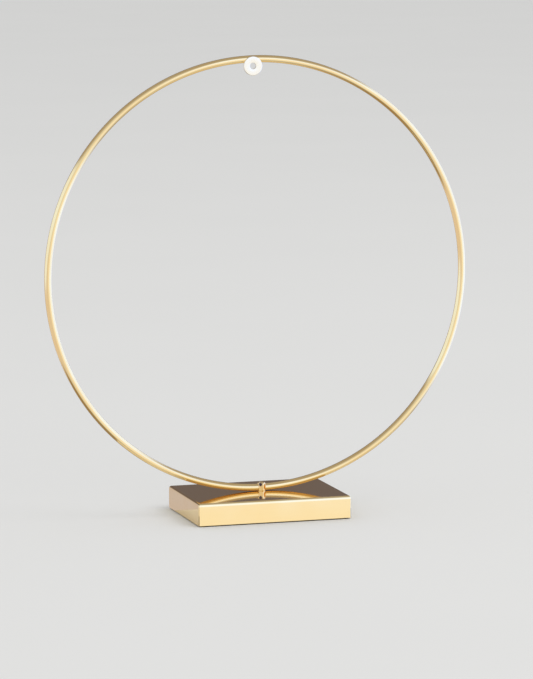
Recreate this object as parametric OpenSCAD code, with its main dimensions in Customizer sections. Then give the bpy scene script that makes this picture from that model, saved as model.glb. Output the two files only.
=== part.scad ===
// Hoop stand for dressing a wreath on a table. A bent rod hoop is brazed to a
// hexagonal threaded boss, and one screw from below clamps the boss to a
// weighted box base, on which the hoop can be turned.
// Millimetres. The origin is the middle of the footprint, on the surface that
// the stand rests on. +Z is up, -Y is the front, and the hoop lies in XZ.

/* [Hoop] */
// Diameter of the hoop, along the middle of its rod
hoop_d = 300; // [200:5:400]
// Diameter of the rod
rod_d = 5; // [4:0.5:6]
// Gap between the rod's lowest point and the base
hoop_gap = 0.1; // [0.05:0.05:0.5]

/* [Threaded boss] */
// Width of the hexagon across its flats
boss_af = 5.5; // [5.5:0.5:7]
// Height of the boss
boss_h = 6; // [6:0.1:10]
// Angle round the hoop from its lowest point to the boss, to the right
boss_at = 0.6; // [-2:0.1:2]
// Turn of the hexagon from having corners at the front and back
boss_turn = 7; // [0:1:30]

/* [Hanging eye] */
// Outer diameter of the washer at the top of the hoop
eye_d = 13.2; // [12.6:0.1:16]
// Diameter of its hole
eye_hole_d = 4.3; // [3:0.1:5]
// Thickness of the washer
eye_t = 1.2; // [0.8:0.1:2]
// Depth of the flat on the rod that the washer is welded to
eye_seat = 0.3; // [0.1:0.1:0.5]
// Clear gap between the hole and the rod behind it
eye_clear = 0.05; // [0.05:0.05:1]
// Angle round the hoop from its highest point to the eye, to the left
eye_at = 1.5; // [-3:0.1:3]

/* [Base] */
// Width of the base
base_w = 110; // [90:1:160]
// Depth of the base
base_d = 80; // [60:1:120]
// Height of the sheet-metal shell
shell_h = 15.5; // [14:0.5:18]
// Thickness of the sheet
sheet_t = 1; // [0.8:0.1:1.2]
// Outer radius of the bends round the top
bend_r = 1.8; // [0.6:0.1:2]
// Outer radius of the four dressed corners
corner_r = 0.8; // [0.5:0.1:1.2]
// Width of the open seam that is left at each corner
seam_w = 0.4; // [0.2:0.1:0.8]
// Height of the open seam, above which the corner is welded
seam_h = 7; // [3:0.5:10]
// Height that the pad holds the shell off the table
pad_proud = 0.8; // [0.5:0.1:2]
// Thickness of the pad
pad_t = 1.8; // [1.6:0.1:3]
// Thickness of the ballast that the screw clamps
web_t = 5; // [4:0.5:6]

/* [Clamp screw] */
// Length of the screw under its head
screw_len = 12; // [11:0.5:13]
// Diameter of the screwdriver access hole
access_d = 12; // [10:0.5:16]

/* [Hidden] */
$fn = 64;

// Standard M3 sizes
thread_d = 3;
thread_root_d = 2.4;
thread_pitch = 0.5;
thread_play = 0.06;
head_d = 5.6;
head_h = 2.2;
head_round = 0.8;
recess_l = 3.2;
recess_w = 0.8;
recess_depth = 1.3;
flat_washer_d = 7;
flat_washer_t = 0.5;
lock_washer_d = 6.2;
lock_washer_t = 0.8;
lock_washer_cut = 0.5;
washer_hole_d = 3.2;

// Clearances
shank_play = 0.2;
ballast_play = 0.4;
fill_gap = 0.5;
cut = 1;

// Small edge breaks
boss_foot_chamfer = 0.45;
boss_cap_chamfer = 0.8;
hole_chamfer = 0.3;
eye_edge = 0.15;
fill_corner_r = 2;

// Heights
shell_bottom = pad_proud;
base_top = shell_bottom + shell_h;
web_top = base_top - sheet_t;
web_bottom = web_top - web_t;
head_seat = web_bottom - flat_washer_t - lock_washer_t;
hoop_r = hoop_d / 2;
rod_r = rod_d / 2;
hoop_z = base_top + hoop_gap + rod_r + hoop_r;

// The boss is where the hoop closes, and the eye is at its top
boss_x = hoop_r * sin(boss_at);
eye_offset = rod_r + eye_hole_d / 2 + eye_clear;
eye_r = hoop_r - eye_offset;
eye_back = -(rod_r - eye_seat);

// Screw, measured up from the underside of its head
plain_len = base_top - head_seat;
ridge_count = floor((screw_len - plain_len) / thread_pitch);

// Turns a part that is drawn along Z to face the front, at the eye's place
module at_eye()
    translate([-eye_r * sin(eye_at), 0, hoop_z + eye_r * cos(eye_at)])
    rotate([90, 0, 0])
    children();

module at_screw(z) translate([boss_x, 0, z]) children();

module hex_prism(height)
    rotate(30 + boss_turn)
    cylinder(d = boss_af / cos(30), h = height, $fn = 6);

// Flat block with rounded upright corners, centred on Z
module rounded_slab(w, d, h, r) {
    linear_extrude(h) {
        square([w - 2 * r, d], center = true);
        square([w, d - 2 * r], center = true);
        for (x = [-1, 1], y = [-1, 1])
            translate([x * (w / 2 - r), y * (d / 2 - r)])
                circle(r);
    }
}

// What is cut off a square edge to round it: the edge runs along Z, and the
// material is on its -X -Y side
module edge_waste(length, r)
    linear_extrude(length, center = true)
    difference() {
        translate([-r, -r]) square(r + cut);
        translate([-r, -r]) circle(r);
    }

// The washer ring, its back at height 0
module ring(outer_d, inner_d, height)
    difference() {
        cylinder(d = outer_d, h = height);
        translate([0, 0, -cut]) cylinder(d = inner_d, h = height + 2 * cut);
    }

// Turned profile of the screw: recess side down, tip up
function head_round_points(steps) = [
    for (i = [0:steps])
        let (a = 90 * i / steps)
        [head_d / 2 - head_round * (1 - sin(a)), -head_h + head_round * (1 - cos(a))]
];
function ridge_points(count) = [
    for (i = [0:count - 1])
        each [
            [thread_root_d / 2, plain_len + i * thread_pitch],
            [(thread_d - thread_play) / 2, plain_len + (i + 0.5) * thread_pitch]
        ]
];

module hoop() {
    color("gold")
    difference() {
        translate([0, 0, hoop_z])
            rotate([90, 0, 0])
            rotate_extrude($fn = 180)
            translate([hoop_r, 0])
            circle(rod_r);
        at_screw(base_top - cut) hex_prism(boss_h + 2 * cut);
        at_eye()
            translate([0, 0, -eye_back])
            cylinder(d = eye_d + eye_seat, h = rod_d);
    }
}

module threaded_boss() {
    color("goldenrod")
    at_screw(base_top)
    difference() {
        intersection() {
            hex_prism(boss_h);
            // Cones that take off the hexagon's corners below and bevel it all round above
            rotate_extrude()
                polygon([
                    [0, 0],
                    [boss_af / 2, 0],
                    [boss_af / 2 + 2 * boss_foot_chamfer, boss_foot_chamfer],
                    [boss_af / 2 + 2 * boss_foot_chamfer,
                     boss_h - boss_cap_chamfer - 2 * boss_foot_chamfer],
                    [boss_af / 2 - boss_cap_chamfer, boss_h],
                    [0, boss_h]
                ]);
        }
        translate([0, 0, -cut]) cylinder(d = thread_d, h = boss_h + 2 * cut);
        translate([0, 0, boss_h - hole_chamfer])
            cylinder(d1 = thread_d, d2 = thread_d + 2 * hole_chamfer, h = hole_chamfer);
    }
}

module hanging_eye() {
    color("ivory")
    at_eye()
    translate([0, 0, -eye_back])
    difference() {
        rotate_extrude()
            polygon([
                [0, 0],
                [eye_d / 2 - eye_edge, 0],
                [eye_d / 2, eye_edge],
                [eye_d / 2, eye_t - eye_edge],
                [eye_d / 2 - eye_edge, eye_t],
                [0, eye_t]
            ]);
        translate([0, 0, -cut]) cylinder(d = eye_hole_d, h = eye_t + 2 * cut);
    }
}

// Box of folded sheet, open below, with its flaps welded at the corners down
// to the open seams
module base_shell() {
    color("wheat")
    difference() {
        translate([-base_w / 2, -base_d / 2, shell_bottom]) cube([base_w, base_d, shell_h]);
        translate([-base_w / 2 + sheet_t, -base_d / 2 + sheet_t, shell_bottom - cut])
            cube([base_w - 2 * sheet_t, base_d - 2 * sheet_t, shell_h - sheet_t + cut]);
        // Bends along the front, back and sides
        for (turn = [0, 180])
            rotate(turn) {
                translate([0, base_d / 2, base_top])
                    rotate([90, 0, 90])
                    edge_waste(base_w + 2 * cut, bend_r);
                translate([base_w / 2, 0, base_top])
                    rotate([90, 0, 0])
                    edge_waste(base_d + 2 * cut, bend_r);
            }
        for (x = [0, 1], y = [0, 1])
            mirror([x, 0, 0])
            mirror([0, y, 0])
            translate([base_w / 2, base_d / 2, shell_bottom]) {
                translate([0, 0, shell_h / 2]) edge_waste(shell_h + 2 * cut, corner_r);
                rotate(45)
                    translate([-2 * sheet_t - cut, -seam_w / 2, -cut])
                    cube([2 * sheet_t + 2 * cut, seam_w, seam_h + cut]);
            }
        at_screw(web_top - cut)
            cylinder(d = thread_d + shank_play, h = sheet_t + 2 * cut);
    }
}

// Cast weight under the shell's top, with a pocket for the screw's head
module ballast_block() {
    color("gray")
    difference() {
        translate([0, 0, pad_t])
            rounded_slab(base_w - 2 * (sheet_t + fill_gap), base_d - 2 * (sheet_t + fill_gap),
                         web_top - pad_t, fill_corner_r);
        at_screw(pad_t - cut) cylinder(d = access_d, h = web_bottom - pad_t + cut);
        at_screw(web_bottom - cut) cylinder(d = thread_d + ballast_play, h = web_t + 2 * cut);
    }
}

module base_pad() {
    color("dimgray")
    difference() {
        rounded_slab(base_w - 2 * (sheet_t + fill_gap), base_d - 2 * (sheet_t + fill_gap),
                     pad_t, fill_corner_r);
        at_screw(-cut) cylinder(d = access_d, h = pad_t + 2 * cut);
    }
}

module clamp_screw() {
    color("silver")
    at_screw(head_seat)
    difference() {
        rotate_extrude()
            polygon(concat(
                [[0, -head_h]],
                head_round_points(4),
                [[head_d / 2, 0], [thread_d / 2, 0], [thread_d / 2, plain_len]],
                ridge_points(ridge_count),
                [[thread_root_d / 2, screw_len], [0, screw_len]]
            ));
        for (turn = [0, 90])
            rotate(turn)
            translate([-recess_l / 2, -recess_w / 2, -head_h - cut])
            cube([recess_l, recess_w, recess_depth + cut]);
    }
}

module lock_washer() {
    color("lightgray")
    at_screw(head_seat)
    difference() {
        ring(lock_washer_d, washer_hole_d, lock_washer_t);
        rotate([20, 0, 0])
            translate([0, -lock_washer_cut / 2, -lock_washer_t])
            cube([lock_washer_d, lock_washer_cut, 3 * lock_washer_t]);
    }
}

module flat_washer() {
    color("whitesmoke")
    at_screw(head_seat + lock_washer_t)
    ring(flat_washer_d, washer_hole_d, flat_washer_t);
}

hoop();
threaded_boss();
hanging_eye();
base_shell();
ballast_block();
base_pad();
clamp_screw();
lock_washer();
flat_washer();
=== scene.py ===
"""Looks of the hoop stand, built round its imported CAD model.

Everything is in metres in the CAD frame: +Z up, -Y the front, the hoop in the XZ plane, and the
origin in the middle of the base's footprint, on the surface that the stand rests on.
"""

import math
import random

import bmesh
import bpy
from mathutils import Matrix, Vector


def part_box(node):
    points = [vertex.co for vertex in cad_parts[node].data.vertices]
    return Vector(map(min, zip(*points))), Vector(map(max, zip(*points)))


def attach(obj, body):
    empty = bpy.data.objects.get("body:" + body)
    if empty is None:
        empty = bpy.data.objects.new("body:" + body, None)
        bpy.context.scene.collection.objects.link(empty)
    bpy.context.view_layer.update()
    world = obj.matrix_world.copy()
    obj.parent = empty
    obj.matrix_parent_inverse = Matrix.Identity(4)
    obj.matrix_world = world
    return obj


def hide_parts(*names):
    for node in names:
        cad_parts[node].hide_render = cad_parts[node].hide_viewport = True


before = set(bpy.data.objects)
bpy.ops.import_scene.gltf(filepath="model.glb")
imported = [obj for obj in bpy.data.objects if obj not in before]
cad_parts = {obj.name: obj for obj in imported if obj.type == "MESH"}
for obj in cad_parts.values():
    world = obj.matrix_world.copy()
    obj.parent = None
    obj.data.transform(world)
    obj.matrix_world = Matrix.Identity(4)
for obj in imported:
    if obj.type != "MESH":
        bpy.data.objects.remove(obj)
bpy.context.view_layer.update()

MM = 0.001

# ---------------------------------------------------------------- sizes, from the CAD frame

HOOP_LOW, HOOP_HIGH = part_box("hoop")
BOSS_LOW, BOSS_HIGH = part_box("threaded_boss")
EYE_LOW, EYE_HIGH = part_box("hanging_eye")
SHELL_LOW, SHELL_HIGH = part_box("base_shell")

ROD_RADIUS = (HOOP_HIGH.y - HOOP_LOW.y) / 2
HOOP_CENTRE = (HOOP_LOW + HOOP_HIGH) / 2
HOOP_RADIUS = (HOOP_HIGH.x - HOOP_LOW.x) / 2 - ROD_RADIUS
BOSS_CENTRE = (BOSS_LOW + BOSS_HIGH) / 2
BOSS_HEIGHT = BOSS_HIGH.z - BOSS_LOW.z
EYE_CENTRE = (EYE_LOW + EYE_HIGH) / 2
EYE_RADIUS = (EYE_HIGH.x - EYE_LOW.x) / 2
EYE_THICKNESS = EYE_HIGH.y - EYE_LOW.y
SHELL_SIZE = SHELL_HIGH - SHELL_LOW
BASE_TOP = SHELL_HIGH.z

# Sizes that a box doesn't give, as in the CAD source
BOSS_ACROSS_FLATS = 5.5 * MM
BOSS_TURN = math.radians(7)
BOSS_FOOT_CHAMFER = 0.45 * MM
THREAD_RADIUS = 1.5 * MM
THREAD_PITCH = 0.5 * MM
EYE_HOLE_RADIUS = 2.15 * MM
SHEET_THICKNESS = 1.0 * MM
CORNER_RADIUS = 0.8 * MM
SEAM_WIDTH = 0.4 * MM
SEAM_HEIGHT = 7 * MM
SHELL_HOLE_RADIUS = 1.6 * MM

# The bend's depth and height: near the CAD's radius of 1.8 mm, and easing into the walls
BEND_DEPTH = 1.4 * MM
BEND_HEIGHT = 2.6 * MM

# How finely the shell's corners and bends are divided, and how far past a bend its last row stands
ARC_STEPS = 4
LONG_SIDE_SPANS = 8
SHORT_SIDE_SPANS = 6
BEND_STEPS = 12
HOLD = 0.15 * MM

# The boss's cap, a polished dome where the CAD has a bevel of 0.8 mm, and the lead into its bore
CAP_HEIGHT = 1.8 * MM
CAP_LAND = 0.15 * MM
BORE_LEAD = 0.15 * MM
RIDGE_DEPTH = 0.12 * MM

# How finely the boss is divided, and how sharp its edges are: the higher, the sharper
BOSS_SIDES = 144
BOSS_CAP_STEPS = 14
BOSS_FOOT_STEPS = 4
BOSS_SHARPNESS = 26

# How finely the rod is divided, and how far from the boss's axis its hidden ends are
HOOP_STEPS = 540
ROD_SIDES = 32
ROD_END = 0.4 * BOSS_ACROSS_FLATS

# The braze's size, how much fuller it is above, how uneven it is, where it starts from the boss's
# axis, its length for its size, how deep its edge lies in the rod, and its gap to the base
BRAZE_SIZE = 0.34 * MM
BRAZE_FULLER = 0.1 * MM
BRAZE_UNEVEN = 0.04 * MM
BRAZE_START = 0.44 * BOSS_ACROSS_FLATS
BRAZE_LENGTH = 1.9
BRAZE_SUNK = 0.03 * MM
BRAZE_GAP = 0.03 * MM
BRAZE_SIDES = 48
BRAZE_STEPS = 8

# The eye's edges: rolled in front, dragged round the hole by the punch, sharper at the back
EYE_FRONT_EDGE = 0.3 * MM
EYE_HOLE_EDGE = 0.22 * MM
EYE_BACK_EDGE = 0.12 * MM
EYE_STEPS = 96

# The shell's smallest roundings: its lower rim, the bend's inside, the hole and the inner corners
RIM_EDGE = 0.08 * MM
INSIDE_BEND = 0.2 * MM
HOLE_DEBURR = 0.1 * MM
SMALLEST_CORNER = 0.3 * MM

# ---------------------------------------------------------------- camera

# Angles in degrees, with azimuth 0 in front and 90 at the right; lens and sensor in millimetres
CAMERA_AZIMUTH = -16.4
CAMERA_ELEVATION = 7.5
CAMERA_DISTANCE = 2.603
CAMERA_ROLL = -0.28
CAMERA_AIM = Vector((5.9, 0, 122.95)) * MM
CAMERA_LENS = 197.65
CAMERA_SENSOR = 36


def direction_to(azimuth, elevation):
    """The direction from the stand towards an azimuth and elevation, in degrees."""
    across, up = math.radians(azimuth), math.radians(elevation)
    level = math.cos(up)
    return Vector((math.sin(across) * level, -math.cos(across) * level, math.sin(up)))


def make_camera():
    data = bpy.data.cameras.new("camera")
    camera = bpy.data.objects.new("camera", data)
    bpy.context.scene.collection.objects.link(camera)
    bpy.context.scene.camera = camera
    back = direction_to(CAMERA_AZIMUTH, CAMERA_ELEVATION)
    turn = (-back).to_track_quat("-Z", "Y").to_matrix().to_4x4()
    roll = Matrix.Rotation(math.radians(CAMERA_ROLL), 4, "Z")
    camera.matrix_world = Matrix.Translation(CAMERA_AIM + back * CAMERA_DISTANCE) @ turn @ roll
    data.lens = CAMERA_LENS
    data.sensor_width = CAMERA_SENSOR
    data.clip_start = 0.1
    data.clip_end = 100


# ---------------------------------------------------------------- node helpers


class Nodes:
    """A node tree with short calls for the nodes that the materials and the world share."""

    def __init__(self, tree):
        self.tree = tree

    def add(self, kind, inputs=(), **settings):
        node = self.tree.nodes.new(kind)
        for name, value in settings.items():
            setattr(node, name, value)
        for name, value in dict(inputs).items():
            self.feed(node.inputs[name], value)
        return node

    def feed(self, socket, value):
        if isinstance(value, bpy.types.NodeSocket):
            self.tree.links.new(value, socket)
        else:
            socket.default_value = value

    def math(self, operation, *values):
        node = self.add("ShaderNodeMath", operation=operation)
        for socket, value in zip(node.inputs, values):
            self.feed(socket, value)
        return node.outputs[0]

    def remap(self, value, from_low, from_high, to_low, to_high, smooth=False):
        node = self.add(
            "ShaderNodeMapRange",
            {"Value": value, "From Min": from_low, "From Max": from_high,
             "To Min": to_low, "To Max": to_high},
            interpolation_type="SMOOTHSTEP" if smooth else "LINEAR",
        )
        return node.outputs[0]

    def noise(self, place, scale, detail=3, roughness=0.5):
        node = self.add(
            "ShaderNodeTexNoise",
            {"Vector": place, "Scale": scale, "Detail": detail, "Roughness": roughness},
        )
        return node.outputs[0]

    def stretched(self, place, scale):
        node = self.add("ShaderNodeMapping", {"Vector": place, "Scale": scale})
        return node.outputs[0]

    def blend(self, share, low, high):
        node = self.add("ShaderNodeMix", data_type="RGBA")
        self.feed(node.inputs[0], share)
        self.feed(node.inputs[6], low)
        self.feed(node.inputs[7], high)
        return node.outputs[2]

    def bump(self, shader, height, strength, distance):
        relief = {"Height": height, "Strength": strength, "Distance": distance}
        self.feed(shader.inputs["Normal"], self.add("ShaderNodeBump", relief).outputs[0])


def new_material(name):
    material = bpy.data.materials.new(name)
    material.use_nodes = True
    nodes = Nodes(material.node_tree)
    shader = material.node_tree.nodes["Principled BSDF"]
    place = nodes.add("ShaderNodeTexCoord").outputs["Object"]
    return material, nodes, shader, place


# ---------------------------------------------------------------- materials

# The clear lacquer over all plated parts
COAT_WEIGHT = 0.2
COAT_ROUGHNESS = 0.05

# Along its edges the plate is rubbed: a paler and duller metal shows where the cosine between the
# rounded and the true surface is small
WEAR_WIDTH = 0.25 * MM
WORN_TONE = (0.95, 0.8, 0.52)
WORN_ROUGHNESS = 0.12
OPEN_FACE_COSINE = 0.97
SHARP_EDGE_COSINE = 0.8

# How deep the fine scratches are, and how they run: long along X
SCRATCH_DEPTH = 2e-6
SCRATCH_SCALE = (900, 5200, 5200)

# A painted dark reflection: a dark spot at the boss's front left, at its cap's lower edge, standing
# in for the dark back of the studio mirrored in the cap
DARK_REFLECTION_TONE = (0.07, 0.045, 0.06)
DARK_REFLECTION_MIDDLE = BOSS_CENTRE + Vector((-1.2, -2.2, 1.6)) * MM
DARK_REFLECTION_RADIUS = 1.5 * MM


def edge_share(nodes):
    """1 along sharp edges, where handling rubs the plate, 0 on open faces."""
    rounded = nodes.add("ShaderNodeBevel", {"Radius": WEAR_WIDTH}, samples=4).outputs[0]
    flat = nodes.add("ShaderNodeNewGeometry").outputs["Normal"]
    level = nodes.add("ShaderNodeVectorMath", {0: rounded, 1: flat}, operation="DOT_PRODUCT")
    return nodes.remap(
        level.outputs["Value"], OPEN_FACE_COSINE, SHARP_EDGE_COSINE, 0, 1, smooth=True
    )


def dark_reflection_share(nodes, place):
    """1 in the middle of the painted dark reflection, fading out with a ragged edge."""
    away = nodes.add("ShaderNodeVectorMath", {0: place, 1: DARK_REFLECTION_MIDDLE}, operation="DISTANCE")
    ragged = nodes.math("MULTIPLY", nodes.noise(place, scale=900, detail=3), DARK_REFLECTION_RADIUS * 0.5)
    reach = nodes.math("ADD", away.outputs["Value"], ragged)
    return nodes.remap(reach, DARK_REFLECTION_RADIUS * 0.75, DARK_REFLECTION_RADIUS * 1.35, 1, 0, smooth=True)


def plated_metal(name, tone, deep_tone, roughness, scratch, painted_lower_shade=0, with_dark_reflection=False):
    """Polished plate: a drift of tone, hazy patches, fine scratches and rubbed edges.

    Its lower-shade amount deepens the tone towards the base's lower edge: painted shade, standing
    in for the shaded floor and the gold's bounce mirrored low on the base's sides. Roughness is its
    lowest and highest value, and scratch the strength of the scratches.
    """
    material, nodes, shader, place = new_material(name)
    shader.inputs["Metallic"].default_value = 1
    shader.inputs["Coat Weight"].default_value = COAT_WEIGHT
    shader.inputs["Coat Roughness"].default_value = COAT_ROUGHNESS
    drift = nodes.remap(nodes.noise(place, scale=35, detail=2), 0.35, 0.65, 0, 1)
    # Painted shade: the tone deepens towards the base's lower edge, for the shaded floor mirrored
    # there
    if painted_lower_shade:
        height = nodes.add("ShaderNodeSeparateXYZ", {"Vector": place}).outputs["Z"]
        lower_shading = nodes.remap(height, SHELL_LOW.z, SHELL_HIGH.z, 1 - painted_lower_shade, 1)
        drift = nodes.math("MULTIPLY", drift, lower_shading)
    lacquer = nodes.blend(drift, (*deep_tone, 1), (*tone, 1))
    worn = edge_share(nodes)
    patchy = nodes.remap(nodes.noise(place, scale=420, detail=3), 0.4, 0.6, 0.1, 0.7)
    rubbed = nodes.math("MULTIPLY", worn, patchy)
    surface = nodes.blend(rubbed, lacquer, (*WORN_TONE, 1))
    # Painted dark reflection: a dark spot on the boss's cap, where the dark studio is mirrored
    if with_dark_reflection:
        surface = nodes.blend(dark_reflection_share(nodes, place), surface, (*DARK_REFLECTION_TONE, 1))
    nodes.feed(shader.inputs["Base Color"], surface)
    haze = nodes.remap(nodes.noise(place, scale=90, detail=4, roughness=0.6), 0.3, 0.7, *roughness)
    dull = nodes.math("MULTIPLY", rubbed, WORN_ROUGHNESS)
    nodes.feed(shader.inputs["Roughness"], nodes.math("ADD", haze, dull))
    scratches = nodes.noise(nodes.stretched(place, SCRATCH_SCALE), scale=1, detail=2)
    nodes.bump(shader, scratches, scratch, SCRATCH_DEPTH)
    return material


def zinc_plate():
    material, nodes, shader, place = new_material("zinc_plate")
    shader.inputs["Metallic"].default_value = 1
    patches = nodes.remap(nodes.noise(place, scale=700, detail=3), 0.35, 0.65, 0, 1)
    tone = nodes.blend(patches, (0.47, 0.49, 0.51, 1), (0.66, 0.68, 0.7, 1))
    nodes.feed(shader.inputs["Base Color"], tone)
    nodes.feed(shader.inputs["Roughness"], nodes.remap(patches, 0, 1, 0.22, 0.4))
    nodes.bump(shader, nodes.noise(place, scale=3000, detail=3), strength=0.3, distance=1e-5)
    return material


def foam():
    """Closed-cell foam sheet: near black, with small cells in its surface."""
    material, nodes, shader, place = new_material("closed_cell_foam")
    shader.inputs["Specular IOR Level"].default_value = 0.3
    cells = nodes.add("ShaderNodeTexVoronoi", {"Vector": place, "Scale": 1400}).outputs[0]
    cloud = nodes.noise(place, scale=120)
    tone = nodes.blend(cloud, (0.022, 0.022, 0.024, 1), (0.042, 0.042, 0.044, 1))
    nodes.feed(shader.inputs["Base Color"], tone)
    nodes.feed(shader.inputs["Roughness"], nodes.remap(cells, 0, 0.6, 0.7, 0.95))
    nodes.bump(shader, cells, strength=0.6, distance=6e-5)
    return material


def cast_filler():
    """Raw cast weight: grey, with a sandy grain and small air pits."""
    material, nodes, shader, place = new_material("cast_filler")
    grain = nodes.noise(place, scale=900, detail=5, roughness=0.65)
    cloud = nodes.noise(place, scale=60, detail=4)
    tone = nodes.blend(cloud, (0.24, 0.235, 0.225, 1), (0.4, 0.39, 0.37, 1))
    nodes.feed(shader.inputs["Base Color"], tone)
    nodes.feed(shader.inputs["Roughness"], nodes.remap(grain, 0.3, 0.7, 0.8, 0.97))
    pits = nodes.add("ShaderNodeTexVoronoi", {"Vector": place, "Scale": 320}).outputs[0]
    depth = nodes.math("ADD", nodes.remap(pits, 0, 0.18, 0, 1, smooth=True), grain)
    nodes.bump(shader, depth, strength=0.7, distance=1.5e-4)
    return material


GOLD_ROD = plated_metal(
    "gold_rod", tone=(0.97, 0.73, 0.35), deep_tone=(0.96, 0.69, 0.31),
    roughness=(0.07, 0.11), scratch=0.25,
)
# The boss carries the painted dark reflection on its cap
GOLD_BOSS = plated_metal(
    "gold_boss", tone=(0.95, 0.69, 0.33), deep_tone=(0.92, 0.64, 0.28),
    roughness=(0.1, 0.16), scratch=0.3, with_dark_reflection=True,
)
# The sheet carries painted shade: its tone deepens towards its lower edge
GOLD_SHEET = plated_metal(
    "gold_sheet", tone=(0.98, 0.76, 0.4), deep_tone=(0.97, 0.715, 0.33),
    roughness=(0.05, 0.08), scratch=0.12, painted_lower_shade=0.8,
)
PALE_EYE = plated_metal(
    "pale_gold_eye", tone=(0.99, 0.9, 0.69), deep_tone=(0.98, 0.87, 0.65),
    roughness=(0.24, 0.32), scratch=0.5,
)
BRAZE = plated_metal(
    "gold_braze", tone=(0.93, 0.62, 0.28), deep_tone=(0.88, 0.56, 0.24),
    roughness=(0.2, 0.34), scratch=0.8,
)
ZINC = zinc_plate()
FOAM = foam()
FILLER = cast_filler()

# ---------------------------------------------------------------- mesh helpers


def add_piece(name, mesh, material, body, replaced=()):
    """Puts a finished mesh in the scene as a piece that rides on a CAD body."""
    piece = bpy.data.objects.new(name, mesh)
    bpy.context.scene.collection.objects.link(piece)
    mesh.materials.clear()
    mesh.materials.append(material)
    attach(piece, body)
    if replaced:
        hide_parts(*replaced)


def mesh_from(name, vertices, faces, sharp_degrees):
    mesh = bpy.data.meshes.new(name)
    mesh.from_pydata([tuple(v) for v in vertices], [], faces)
    outward = bmesh.new()
    outward.from_mesh(mesh)
    bmesh.ops.recalc_face_normals(outward, faces=outward.faces)
    outward.to_mesh(mesh)
    outward.free()
    shade(mesh, sharp_degrees)
    return mesh


def shade(mesh, sharp_degrees):
    """Smooth shading, with edges that bend more than this kept sharp."""
    mesh.polygons.foreach_set("use_smooth", [True] * len(mesh.polygons))
    mesh.set_sharp_from_angle(angle=math.radians(sharp_degrees))
    mesh.update()


def tube(rings, closed=False):
    """Vertices and faces of a tube through rings of equally many points.

    An open tube gets a cap at each end, a closed one joins its last ring to its first.
    """
    sides = len(rings[0])
    vertices = [point for ring in rings for point in ring]
    faces = []
    spans = len(rings) if closed else len(rings) - 1
    for i in range(spans):
        here, there = i * sides, (i + 1) % len(rings) * sides
        for k in range(sides):
            after = (k + 1) % sides
            faces.append((here + k, here + after, there + after, there + k))
    if not closed:
        faces.append(tuple(reversed(range(sides))))
        faces.append(tuple(range(len(vertices) - sides, len(vertices))))
    return vertices, faces


def turned(profile, steps, centre):
    """Vertices and faces of a closed profile turned about an axis that points to the front.

    The profile's points are distances from the axis and distances forward.
    """
    rings = []
    for i in range(steps):
        angle = 2 * math.pi * i / steps
        rings.append([
            centre + Vector((radius * math.cos(angle), -forward, radius * math.sin(angle)))
            for radius, forward in profile
        ])
    return tube(rings, closed=True)


def level_circle(height, radius, count, turn=0):
    """Points of a level circle round the boss's axis."""
    angles = [2 * math.pi * k / count + turn for k in range(count)]
    return [
        Vector((
            BOSS_CENTRE.x + radius * math.cos(angle),
            BOSS_CENTRE.y + radius * math.sin(angle),
            height,
        ))
        for angle in angles
    ]


def round_corner(centre, radius, start, end, steps):
    """Points of an arc in a profile, with angles in degrees."""
    return [
        (centre[0] + radius * math.cos(math.radians(start + (end - start) * i / steps)),
         centre[1] + radius * math.sin(math.radians(start + (end - start) * i / steps)))
        for i in range(steps + 1)
    ]


# ---------------------------------------------------------------- hoop


def rod_point(angle, around):
    """A point on the rod: angle round the hoop from its top, around the rod from its outside."""
    distance = HOOP_RADIUS + ROD_RADIUS * math.cos(around)
    return HOOP_CENTRE + Vector((
        distance * math.sin(angle), ROD_RADIUS * math.sin(around), distance * math.cos(angle)
    ))


def make_hoop():
    boss_angle = math.asin((BOSS_CENTRE.x - HOOP_CENTRE.x) / HOOP_RADIUS)
    hidden = ROD_END / HOOP_RADIUS
    start = math.pi - boss_angle + hidden
    sweep = 2 * (math.pi - hidden)
    rings = []
    for i in range(HOOP_STEPS + 1):
        angle = start + sweep * i / HOOP_STEPS
        rings.append([rod_point(angle, 2 * math.pi * k / ROD_SIDES) for k in range(ROD_SIDES)])
    mesh = mesh_from("hoop_rod", *tube(rings), sharp_degrees=60)
    add_piece("hoop_rod", mesh, GOLD_ROD, "hoop", ["hoop"])


# ---------------------------------------------------------------- boss


def boss_ring(height, limit):
    """A level outline of the hexagon at a height over its foot, with polished corners.

    Its points stay within the limit's distance of the axis.
    """
    flat = BOSS_ACROSS_FLATS / 2
    points = []
    for k in range(BOSS_SIDES):
        angle = 2 * math.pi * k / BOSS_SIDES
        total = limit ** -BOSS_SHARPNESS
        for side in range(6):
            reach = math.cos(angle - side * math.pi / 3)
            if reach > 0:
                total += (reach / flat) ** BOSS_SHARPNESS
        radius = total ** (-1 / BOSS_SHARPNESS)
        points.append(Vector((
            BOSS_CENTRE.x + radius * math.cos(angle + BOSS_TURN),
            BOSS_CENTRE.y + radius * math.sin(angle + BOSS_TURN),
            BOSS_LOW.z + height,
        )))
    return points


def bore_ring(height, radius):
    """A level circle of the boss's bore, at a height over its foot."""
    return level_circle(BOSS_LOW.z + height, radius, BOSS_SIDES, BOSS_TURN)


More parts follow.
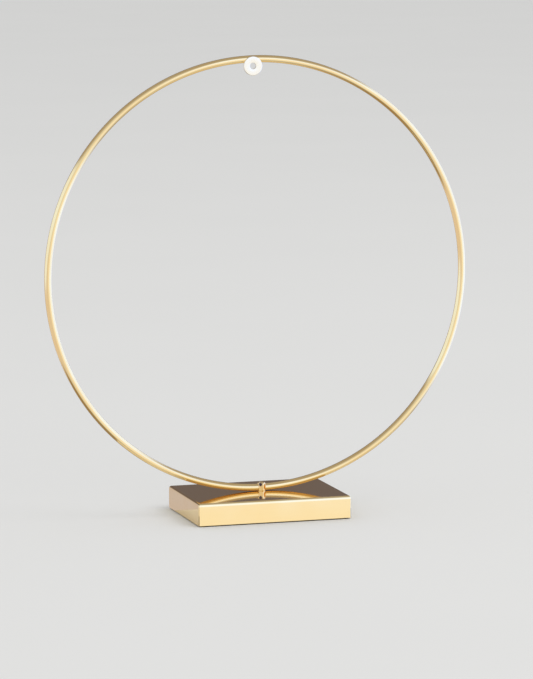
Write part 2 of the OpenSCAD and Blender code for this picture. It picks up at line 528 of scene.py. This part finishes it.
def make_boss():
    """Hexagon with its corners off below, a domed cap, and thread ridges in its bore."""
    flat = BOSS_ACROSS_FLATS / 2
    corner = flat / math.cos(math.pi / 6)
    rings = []
    for i in range(BOSS_FOOT_STEPS + 1):
        share = i / BOSS_FOOT_STEPS
        limit = flat + (corner - flat) * share
        rings.append(boss_ring(BOSS_FOOT_CHAMFER * share, limit))
    land = THREAD_RADIUS + BORE_LEAD + CAP_LAND
    for i in range(BOSS_CAP_STEPS + 1):
        rise = math.pi / 2 * i / BOSS_CAP_STEPS
        limit = land + (corner - land) * math.cos(rise)
        rings.append(boss_ring(BOSS_HEIGHT - CAP_HEIGHT * (1 - math.sin(rise)), limit))
    rings.append(bore_ring(BOSS_HEIGHT, THREAD_RADIUS + BORE_LEAD))
    rings.append(bore_ring(BOSS_HEIGHT - BORE_LEAD, THREAD_RADIUS))
    for i in range(int((BOSS_HEIGHT - 2 * BORE_LEAD) / THREAD_PITCH)):
        level = BOSS_HEIGHT - BORE_LEAD - i * THREAD_PITCH
        rings.append(bore_ring(level - THREAD_PITCH / 2, THREAD_RADIUS - RIDGE_DEPTH))
        rings.append(bore_ring(level - THREAD_PITCH, THREAD_RADIUS))
    rings.append(bore_ring(0, THREAD_RADIUS))
    mesh = mesh_from("boss_post", *tube(rings, closed=True), sharp_degrees=35)
    add_piece("boss_post", mesh, GOLD_BOSS, "hoop", ["threaded_boss"])


def make_braze():
    """Small concave fillets where the rod's ends meet the boss, fuller above than below."""
    rng = random.Random(4)
    for name, side in (("braze_left", -1), ("braze_right", 1)):
        lean = rng.uniform(0, 2 * math.pi)
        rings = []
        for i in range(BRAZE_STEPS + 1):
            share = i / BRAZE_STEPS
            ring = []
            for k in range(BRAZE_SIDES):
                around = 2 * math.pi * k / BRAZE_SIDES
                up = math.cos(around)
                size = BRAZE_SIZE + BRAZE_FULLER * up + BRAZE_UNEVEN * math.sin(2 * around + lean)
                lift = size * (1 - math.sqrt(1 - (1 - share) ** 2))
                x = BOSS_CENTRE.x + side * (BRAZE_START + BRAZE_LENGTH * size * share)
                drop = math.sqrt(HOOP_RADIUS ** 2 - (x - HOOP_CENTRE.x) ** 2)
                radius = ROD_RADIUS - BRAZE_SUNK + lift
                z = max(HOOP_CENTRE.z - drop + radius * up, BASE_TOP + BRAZE_GAP)
                ring.append(Vector((x, radius * math.sin(around), z)))
            rings.append(ring)
        mesh = mesh_from(name, *tube(rings), sharp_degrees=50)
        add_piece(name, mesh, BRAZE, "hoop")


# ---------------------------------------------------------------- hanging eye


def make_eye():
    """Stamped washer: a rolled front edge, a slight drag round the hole, a sharper back edge."""
    profile = []
    for side, face, edge, start, steps in (
        (EYE_RADIUS - EYE_FRONT_EDGE, 1, EYE_FRONT_EDGE, 0, 6),
        (EYE_HOLE_RADIUS + EYE_HOLE_EDGE, 1, EYE_HOLE_EDGE, 90, 5),
        (EYE_HOLE_RADIUS + EYE_BACK_EDGE, -1, EYE_BACK_EDGE, 180, 3),
        (EYE_RADIUS - EYE_BACK_EDGE, -1, EYE_BACK_EDGE, 270, 3),
    ):
        centre = (side, face * (EYE_THICKNESS / 2 - edge))
        profile += round_corner(centre, edge, start, start + 90, steps)
    vertices, faces = turned(profile, EYE_STEPS, EYE_CENTRE)
    mesh = mesh_from("eye_ring", vertices, faces, sharp_degrees=40)
    add_piece("eye_ring", mesh, PALE_EYE, "hoop", ["hanging_eye"])


# ---------------------------------------------------------------- base


def side_spans(k):
    """How many spans the shell's k-th side has: the long sides come first and third."""
    return LONG_SIDE_SPANS if k % 2 == 0 else SHORT_SIDE_SPANS


def shell_ring(inset, height, corner):
    """A level outline of the shell, with the same points at every inset.

    Each corner has two arcs with the seam's width between them, and a point just past each end.
    """
    half_x, half_y = SHELL_SIZE.x / 2 - inset, SHELL_SIZE.y / 2 - inset
    half_seam = math.degrees(math.asin(SEAM_WIDTH / 2 / corner))
    points = []
    for k in range(4):
        side_x = 1 if k in (0, 3) else -1
        side_y = 1 if k in (0, 1) else -1
        centre = (side_x * (half_x - corner), side_y * (half_y - corner))
        first = round_corner(centre, corner, 90 * k, 90 * k + 45 - half_seam, ARC_STEPS)
        last = round_corner(centre, corner, 90 * k + 45 + half_seam, 90 * k + 90, ARC_STEPS)
        along = (math.cos(math.radians(90 * k)), math.sin(math.radians(90 * k)))
        across = (-along[1], along[0])
        start = (first[0][0] - across[0] * HOLD, first[0][1] - across[1] * HOLD)
        end = (last[-1][0] - along[0] * HOLD, last[-1][1] - along[1] * HOLD)
        points += [start] + first + last + [end]
    corner_points = len(points) // 4
    ring = []
    for k in range(4):
        ring += points[k * corner_points:(k + 1) * corner_points]
        here = points[(k + 1) * corner_points - 1]
        there = points[(k + 1) % 4 * corner_points]
        for i in range(1, side_spans(k)):
            share = i / side_spans(k)
            ring.append(tuple(p + (q - p) * share for p, q in zip(here, there)))
    return [Vector((x, y, height)) for x, y in ring]


def make_shell():
    """Folded box: rounded bends, its thickness, open seams at the corners, and the screw's hole."""
    low, top = SHELL_LOW.z, SHELL_HIGH.z
    thick = SHEET_THICKNESS
    seam_top = low + SEAM_HEIGHT
    tight = max(CORNER_RADIUS - thick, SMALLEST_CORNER)
    half_bend = INSIDE_BEND * 0.3
    rings = [
        shell_ring(RIM_EDGE, low, CORNER_RADIUS),
        shell_ring(0, low + RIM_EDGE, CORNER_RADIUS),
        shell_ring(0, seam_top, CORNER_RADIUS),
        shell_ring(0, top - BEND_HEIGHT - HOLD, CORNER_RADIUS),
    ]
    for i in range(BEND_STEPS + 1):
        bend = math.radians(90 * i / BEND_STEPS)
        corner = CORNER_RADIUS + (tight - CORNER_RADIUS) * i / BEND_STEPS
        inset = BEND_DEPTH * (1 - math.cos(bend))
        rings.append(shell_ring(inset, top - BEND_HEIGHT * (1 - math.sin(bend)), corner))
    rings.append(shell_ring(BEND_DEPTH + HOLD, top, tight))
    count = len(rings[0])
    rings += [
        level_circle(top, SHELL_HOLE_RADIUS + HOLE_DEBURR, count),
        level_circle(top - HOLE_DEBURR, SHELL_HOLE_RADIUS, count),
        level_circle(top - thick, SHELL_HOLE_RADIUS, count),
        shell_ring(thick + INSIDE_BEND + HOLD, top - thick, tight),
        shell_ring(thick + INSIDE_BEND, top - thick, tight),
        shell_ring(thick + half_bend, top - thick - half_bend, tight),
        shell_ring(thick, top - thick - INSIDE_BEND, tight),
        shell_ring(thick, seam_top, tight),
        shell_ring(thick, low + RIM_EDGE, tight),
        shell_ring(thick - RIM_EDGE, low, tight),
    ]
    vertices, faces = tube(rings, closed=True)
    slotted_rings = [len(rings) - 3, len(rings) - 2, len(rings) - 1, 0, 1, 2]
    seam_columns = []
    column = 0
    for k in range(4):
        seam_columns.append(column + 1 + ARC_STEPS)
        column += 2 * (ARC_STEPS + 2) + side_spans(k) - 1
    # The faces across each seam give way to its two sides and its upper end
    dropped = {
        ring * count + seam for ring in slotted_rings[:-1] for seam in seam_columns
    }
    faces = [face for face in faces if face[0] not in dropped]
    for seam in seam_columns:
        faces.append(tuple(ring * count + seam for ring in slotted_rings))
        faces.append(tuple(ring * count + seam + 1 for ring in reversed(slotted_rings)))
        inner, outer = slotted_rings[0] * count + seam, slotted_rings[-1] * count + seam
        faces.append((inner, outer, outer + 1, inner + 1))
    mesh = mesh_from("shell_box", vertices, faces, sharp_degrees=32)
    add_piece("shell_box", mesh, GOLD_SHEET, "base", ["base_shell"])


def dress_cad_nodes():
    """Materials for the CAD nodes that stay as they are."""
    for name, material in (
        ("ballast_block", FILLER),
        ("base_pad", FOAM),
        ("clamp_screw", ZINC),
        ("lock_washer", ZINC),
        ("flat_washer", ZINC),
    ):
        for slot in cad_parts[name].material_slots:
            slot.material = material


# ---------------------------------------------------------------- floor and light

# How far the floor reaches, and the part of it that polished metal mirrors: low and high x, low
# and high y
FLOOR_REACH = 40
NEAR_FLOOR = (-0.13, 0.2, -0.043, 0.03)


def make_floor():
    """A plain matt floor.

    Polished metal mirrors only the part near the stand. Past it, it mirrors the lower half of the
    studio.
    """
    material, nodes, shader, place = new_material("pale_floor")
    patches = nodes.noise(place, scale=3, detail=2)
    tone = nodes.blend(patches, (0.80, 0.80, 0.79, 1), (0.82, 0.82, 0.81, 1))
    nodes.feed(shader.inputs["Base Color"], tone)
    grain = nodes.noise(place, scale=40)
    nodes.feed(shader.inputs["Roughness"], nodes.remap(grain, 0.3, 0.7, 0.8, 0.9))
    shader.inputs["Specular IOR Level"].default_value = 0
    low_x, high_x, low_y, high_y = NEAR_FLOOR
    near = [(low_x, low_y), (high_x, low_y), (high_x, high_y), (low_x, high_y)]
    far = [(x * FLOOR_REACH, y * FLOOR_REACH) for x, y in ((-1, -1), (1, -1), (1, 1), (-1, 1))]
    points = [(x, y, 0) for x, y in near + far]
    rim = [(k, k + 4, (k + 1) % 4 + 4, (k + 1) % 4) for k in range(4)]
    for name, vertices, faces in (
        ("floor_near", points[:4], [(0, 1, 2, 3)]),
        ("floor_far", points, rim),
    ):
        mesh = bpy.data.meshes.new(name)
        mesh.from_pydata(vertices, [], faces)
        mesh.materials.append(material)
        floor = bpy.data.objects.new(name, mesh)
        bpy.context.scene.collection.objects.link(floor)
        floor.visible_glossy = name == "floor_near"


# What polished metal mirrors, each over the ones before it: azimuth (0 is the front, 90 the
# right) and elevation of its middle, half its width and height, softness of its edge, brightness
CARDS = {
    "front": (-5, -8, 95, 48, 0.55, (0.8, 0.88, 1.05)),
    "ground_left": (-95, -58, 90, 26, 0.3, (0.34, 0.28, 0.2)),
    "ground_right": (115, -66, 75, 24, 0.3, (0.76, 0.68, 0.5)),
    "left_low": (-90, -14, 80, 21, 0.2, (0.78, 0.76, 0.85)),
    "left_box": (-90, 13, 57, 22, 0.16, (0.93, 1.14, 1.6)),
    "right_box": (86, 5, 71, 36, 0.16, (1, 1.3, 2.25)),
    "dark_back": (174, 12, 32, 26, 0.2, (0.155, 0.13, 0.13)),
    "front_low": (16, -9, 18, 24, 0.3, (1.01, 1.05, 1.17)),
    "bend_glint": (16, 18, 8, 19, 0.2, (1.04, 1.3, 2.05)),
    "left_back": (-164, -8, 14, 14, 0.3, (0.6, 0.56, 0.62)),
}

# What it mirrors where there is no card, what the camera sees, and what lights matt surfaces
STUDIO = (0.42, 0.41, 0.42)
BACKDROP = 0.78
FILL = 0.78


def card_share(nodes, azimuth, elevation, at, height, half_width, half_height, soft):
    """1 inside a soft-edged oval card of the studio, 0 outside."""
    turned_by = nodes.math("WRAP", nodes.math("SUBTRACT", azimuth, at), 180, -180)
    side = nodes.math("DIVIDE", turned_by, half_width)
    rise = nodes.math("DIVIDE", nodes.math("SUBTRACT", elevation, height), half_height)
    squares = nodes.math("ADD", nodes.math("POWER", side, 2), nodes.math("POWER", rise, 2))
    return nodes.remap(nodes.math("SQRT", squares), 1 - soft, 1 + soft, 1, 0, smooth=True)


def make_world():
    world = bpy.data.worlds.new("studio")
    bpy.context.scene.world = world
    world.use_nodes = True
    nodes = Nodes(world.node_tree)
    background = world.node_tree.nodes["Background"]
    direction = nodes.add("ShaderNodeTexCoord").outputs["Generated"]
    parts = nodes.add("ShaderNodeSeparateXYZ", {"Vector": direction}).outputs
    back = nodes.math("MULTIPLY", parts["Y"], -1)
    azimuth = nodes.math("DEGREES", nodes.math("ARCTAN2", parts["X"], back))
    elevation = nodes.math("DEGREES", nodes.math("ARCSINE", parts["Z"]))
    glow = (*STUDIO, 1)
    for *shape, brightness in CARDS.values():
        share = card_share(nodes, azimuth, elevation, *shape)
        glow = nodes.blend(share, glow, (*brightness, 1))
    path = nodes.add("ShaderNodeLightPath").outputs
    fill, backdrop = (FILL, FILL, FILL, 1), (BACKDROP, BACKDROP, BACKDROP, 1)
    plain = nodes.blend(path["Is Camera Ray"], fill, backdrop)
    nodes.feed(background.inputs["Color"], nodes.blend(path["Is Glossy Ray"], plain, glow))


def add_area(name, azimuth, elevation, distance, size, power):
    data = bpy.data.lights.new(name, "AREA")
    data.size = size
    data.energy = power
    lamp = bpy.data.objects.new(name, data)
    bpy.context.scene.collection.objects.link(lamp)
    towards = direction_to(azimuth, elevation)
    lamp.location = towards * distance
    lamp.rotation_euler = towards.to_track_quat("Z", "Y").to_euler()
    lamp.visible_camera = False
    lamp.visible_glossy = False


make_camera()
make_world()
add_area("key", azimuth=40, elevation=48, distance=6, size=3.4, power=76)
make_floor()
make_hoop()
make_boss()
make_braze()
make_eye()
make_shell()
dress_cad_nodes()

bpy.context.scene.view_settings.view_transform = "Standard"
